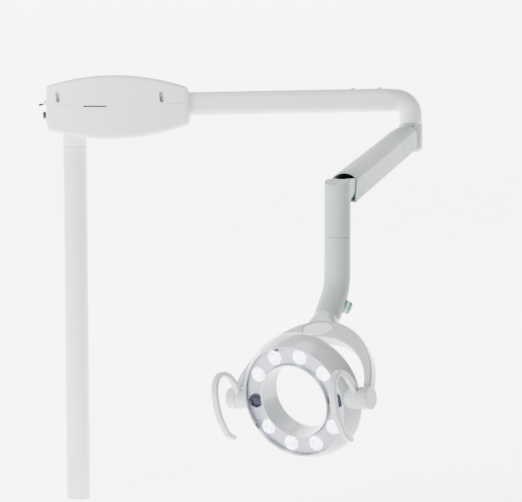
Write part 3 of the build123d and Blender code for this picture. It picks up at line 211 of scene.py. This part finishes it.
# dark sensor window with a deep blue coat
window, tree, shader = new_material("sensor_window", (0.006, 0.008, 0.03), 0.2, Coat_Weight=0.1,
                                    Coat_Roughness=0.05, Specular_IOR_Level=0.1)
depth = ramp(tree, noise(tree, 150, 3), [(0.3, (0.004, 0.005, 0.02)), (0.8, (0.015, 0.02, 0.07))])
tree.links.new(depth, shader.inputs["Base Color"])
made["sensor_window"] = window

slots = {part["node"]: part["material_slot"] for part in frame["record"]["subparts"]}
for node, thing in frame["nodes"].items():
    thing.data.materials.clear()
    thing.data.materials.append(made[slots[node]])


# ------------------------------------------------------------------ shaped pieces
def piece(name, build, matrix, body, material):
    """Make one mesh piece with build(bm), put it in place and let it ride on a body."""
    mesh = bpy.data.meshes.new(name)
    bm = bmesh.new()
    build(bm)
    bmesh.ops.recalc_face_normals(bm, faces=bm.faces)
    bm.to_mesh(mesh)
    bm.free()
    mesh.transform(matrix)
    mesh.materials.append(made[material])
    thing = bpy.data.objects.new(name, mesh)
    bpy.context.scene.collection.objects.link(thing)
    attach(thing, body)


def lathe(bm, profile, segments=48):
    """Turn a closed profile of (radius, height) about Z."""
    rings = []
    for k in range(segments):
        angle = 2 * pi * k / segments
        rings.append([bm.verts.new((r * cos(angle), r * sin(angle), h)) for r, h in profile])
    for k in range(segments):
        here, there = rings[k], rings[(k + 1) % segments]
        for j in range(len(profile)):
            nxt = (j + 1) % len(profile)
            bm.faces.new((here[j], there[j], there[nxt], here[nxt]))


FACETS = 12
LENS_SKIRT = 0.001


def facet_lens(bm):
    """A moulded lens front: a raised rim, two crowns of flat facets and a small central dome."""
    crowns = [(0.0122, 0.0), (0.0116, 0.0012), (0.0092, 0.0006), (0.0062, 0.0016), (0.0030, 0.0007),
              (0.0012, 0.0014)]
    step = 2 * pi / FACETS
    rows = []
    for row, (radius, height) in enumerate(crowns):
        turns = [step * (k + (row % 2) / 2) for k in range(FACETS)]
        rows.append([bm.verts.new((radius * cos(turn), radius * sin(turn), height)) for turn in turns])
    for row in range(len(rows) - 1):
        outer, inner = rows[row], rows[row + 1]
        for k in range(FACETS):
            k1 = (k + 1) % FACETS
            if row % 2 == 0:
                bm.faces.new((outer[k], outer[k1], inner[k]))
                bm.faces.new((outer[k1], inner[k1], inner[k]))
            else:
                bm.faces.new((outer[k], outer[k1], inner[k1]))
                bm.faces.new((outer[k], inner[k1], inner[k]))
    bm.faces.new(rows[-1])
    base = [bm.verts.new((v.co.x, v.co.y, -LENS_SKIRT)) for v in rows[0]]
    for k in range(FACETS):
        k1 = (k + 1) % FACETS
        bm.faces.new((rows[0][k], base[k], base[k1], rows[0][k1]))
    bm.faces.new(base)


# the two stations on the tilt axis hold sensors, and the other eight hold lenses
LENS_FRONT = 0.0145
BEZEL_FRONT = 0.0153
bezel = [(0.0112, 0), (0.0124, 0), (0.0124, 0.0010), (0.0119, 0.0016), (0.0112, 0.0012)]
for i in range(STATIONS):
    if i in (0, STATIONS // 2):
        piece(f"sensor_bezel_{i}", lambda bm: lathe(bm, bezel), station(i, BEZEL_FRONT), "head",
              "black_plastic")
    else:
        piece(f"lens_front_{i}", facet_lens, station(i, LENS_FRONT), "head", "lens")


def seam_chains(node, point, normal):
    """Point chains where a plane cuts a CAD node."""
    bm = bmesh.new()
    bm.from_mesh(frame["nodes"][node].data)
    bmesh.ops.remove_doubles(bm, verts=bm.verts, dist=1e-6)
    everything = bm.verts[:] + bm.edges[:] + bm.faces[:]
    cut = bmesh.ops.bisect_plane(bm, geom=everything, plane_co=point, plane_no=normal)
    edges = [thing for thing in cut["geom_cut"] if isinstance(thing, bmesh.types.BMEdge)]
    bm.verts.index_update()
    links = {}
    spots = {}
    for edge in edges:
        first, second = edge.verts
        spots[first.index], spots[second.index] = first.co.copy(), second.co.copy()
        links.setdefault(first.index, []).append(second.index)
        links.setdefault(second.index, []).append(first.index)
    bm.free()
    chains, seen = [], set()
    for start in sorted(links, key=lambda index: (len(links[index]) != 1, index)):
        if start in seen:
            continue
        chain, here = [start], start
        seen.add(start)
        while True:
            onward = [index for index in links[here] if index not in seen]
            if not onward:
                break
            here = onward[0]
            seen.add(here)
            chain.append(here)
        closed = len(chain) > 2 and start in links[chain[-1]]
        chains.append(([spots[index] for index in chain], closed))
    return chains


CORD_SIDES = 6


def seam_cord(bm, points, closed, radius, across):
    """A slim cord of flat sides along points, its section square to the path."""
    step = 2 * pi / CORD_SIDES
    rings = []
    count = len(points)
    for k, spot in enumerate(points):
        before = points[k - 1] if closed or k else spot
        after = points[(k + 1) % count] if closed or k < count - 1 else spot
        along = (after - before).normalized()
        side = along.cross(across).normalized()
        rings.append([bm.verts.new(spot + (side * cos(step * j) + across * sin(step * j)) * radius)
                      for j in range(CORD_SIDES)])
    for k in range(count if closed else count - 1):
        here, there = rings[k], rings[(k + 1) % count]
        for j in range(CORD_SIDES):
            j1 = (j + 1) % CORD_SIDES
            bm.faces.new((here[j], there[j], there[j1], here[j1]))
    if not closed:
        bm.faces.new(rings[0])
        bm.faces.new(rings[-1])


# painted shade: a slim dark cord laid along the seam between the two covers of the housing, standing in
# for the thin shadow line there
BOOM_RISE = radians(1.1)
PARTING_HEIGHT = 0.8415
PARTING_LIFT = 0.00015  # from the parting plane up to the rim of the upper cover
# thickness and inset of the dark cord that paints the seam's shadow line
SEAM_SHADOW_RADIUS = 0.00028
SEAM_SHADOW_INSET = SEAM_SHADOW_RADIUS * 0.95
SHORTEST_SEAM = 4  # points in the shortest stretch of seam that gets a dark cord of painted seam shadow
upper_low, upper_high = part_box("housing_upper_cover")
middle_spot = Vector(((upper_low[0] + upper_high[0]) / 2, 0, PARTING_HEIGHT))
parting_up = Vector((-sin(BOOM_RISE), 0, cos(BOOM_RISE)))
parting_spot = Vector((0, 0, PARTING_HEIGHT)) + parting_up * PARTING_LIFT
for k, (chain, closed) in enumerate(seam_chains("housing_upper_cover", parting_spot, parting_up)):
    if len(chain) < SHORTEST_SEAM:
        continue
    # painted shade: each chain of the cut becomes a dark cord standing in for the shadow line between the
    # covers
    inset = [spot + (middle_spot - spot).normalized() * SEAM_SHADOW_INSET for spot in chain]
    piece(f"cover_seam_shadow_{k}", lambda bm: seam_cord(bm, inset, closed, SEAM_SHADOW_RADIUS, parting_up),
          Matrix.Identity(4), "boom", "bush_plastic")

# rolled threads on the toggle switch's neck, ahead of its nut
THREADS = 3
THREAD_START = 0.0006
THREAD_PITCH = 0.0011
thread = [(0.0058, 0.0), (0.0061, 0.00035), (0.0058, 0.0007)]
neck_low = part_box("toggle_switch")[0]
toggle_spot = Vector(joints["toggle_throw"]["pos_m"])
for k in range(THREADS):
    thread_spot = Vector((neck_low[0] + THREAD_START + THREAD_PITCH * k, toggle_spot.y, toggle_spot.z))
    piece(f"neck_thread_{k}", lambda bm: lathe(bm, thread, 36),
          place(thread_spot, Vector((0, 1, 0)), Vector((1, 0, 0))), "boom", "chrome")

# ------------------------------------------------------------------ room
SWEEP_BACK = 3.2
SWEEP_RADIUS = 1.5
SWEEP_STEPS = 12
FLOOR_FRONT = -7.0
FLOOR_SIDE = 9
WALL_TOP = 6.0
FLOOR_DROP = 0.0005
SHADE_SPOT = (1.5, -1.9, 0.0)  # the backlit floor is dimmer about this spot, in front and to the right


def room(name, color):
    """A pale floor that turns up into the backdrop in one soft curve."""
    mesh = bpy.data.meshes.new(name)
    bm = bmesh.new()
    profile = [(FLOOR_FRONT, 0.0), (SWEEP_BACK, 0.0)]
    for k in range(1, SWEEP_STEPS + 1):
        angle = pi / 2 * k / SWEEP_STEPS
        profile.append((SWEEP_BACK + SWEEP_RADIUS * sin(angle), SWEEP_RADIUS * (1 - cos(angle))))
    profile.append((SWEEP_BACK + SWEEP_RADIUS, WALL_TOP))
    left = [bm.verts.new((-FLOOR_SIDE, y, z - FLOOR_DROP)) for y, z in profile]
    right = [bm.verts.new((FLOOR_SIDE, y, z - FLOOR_DROP)) for y, z in profile]
    for k in range(len(profile) - 1):
        bm.faces.new((left[k], right[k], right[k + 1], left[k + 1])).smooth = True
    bm.to_mesh(mesh)
    bm.free()
    thing = bpy.data.objects.new(name, mesh)
    bpy.context.scene.collection.objects.link(thing)
    material = coated(name, color, 0.9, 40, 0.02, 0.006, Emission_Color=(1, 1, 1, 1))
    tree = material.node_tree
    shader = next(node for node in tree.nodes if node.type == "BSDF_PRINCIPLED")
    coords = tree.nodes.new("ShaderNodeTexCoord")
    gap = tree.nodes.new("ShaderNodeVectorMath")
    gap.operation = "DISTANCE"
    gap.inputs[1].default_value = SHADE_SPOT
    glow = tree.nodes.new("ShaderNodeMapRange")
    glow.interpolation_type = "SMOOTHSTEP"
    for socket, value in zip(("From Min", "From Max", "To Min", "To Max"), (0.9, 2.3, 0.05, 5.0)):
        glow.inputs[socket].default_value = value
    tree.links.new(coords.outputs["Object"], gap.inputs[0])
    tree.links.new(gap.outputs["Value"], glow.inputs["Value"])
    tree.links.new(glow.outputs["Result"], shader.inputs["Emission Strength"])
    mesh.materials.append(material)
    return thing


floor = room("studio_floor", (0.95, 0.95, 0.95))

world = bpy.data.worlds.new("studio")
bpy.context.scene.world = world
world.use_nodes = True
world.node_tree.nodes["Background"].inputs["Color"].default_value = (0.97, 0.98, 1.0, 1)
world.node_tree.nodes["Background"].inputs["Strength"].default_value = 0.12


def area(name, spot, target, size, power, color=(1, 1, 1)):
    light = bpy.data.lights.new(name, "AREA")
    light.shape = "DISK"
    light.size = size
    light.energy = power
    light.color = color
    thing = bpy.data.objects.new(name, light)
    thing.location = spot
    thing.rotation_euler = (Vector(target) - Vector(spot)).to_track_quat("-Z", "Y").to_euler()
    bpy.context.scene.collection.objects.link(thing)


middle = (0.35, -0.3, 0.6)
area("key", (-2.0, -2.4, 1.9), middle, 1.2, 120)
area("top", (0.1, -0.6, 3.0), middle, 1.4, 34)

camera_data = bpy.data.cameras.new("camera")
camera_data.sensor_width = 36
camera_data.lens = 100
camera = bpy.data.objects.new("camera", camera_data)
camera.location = (0.3944, -3.085, 0.774)
camera.rotation_euler = (radians(90 - 4.456), 0, 0)
bpy.context.scene.collection.objects.link(camera)
bpy.context.scene.camera = camera
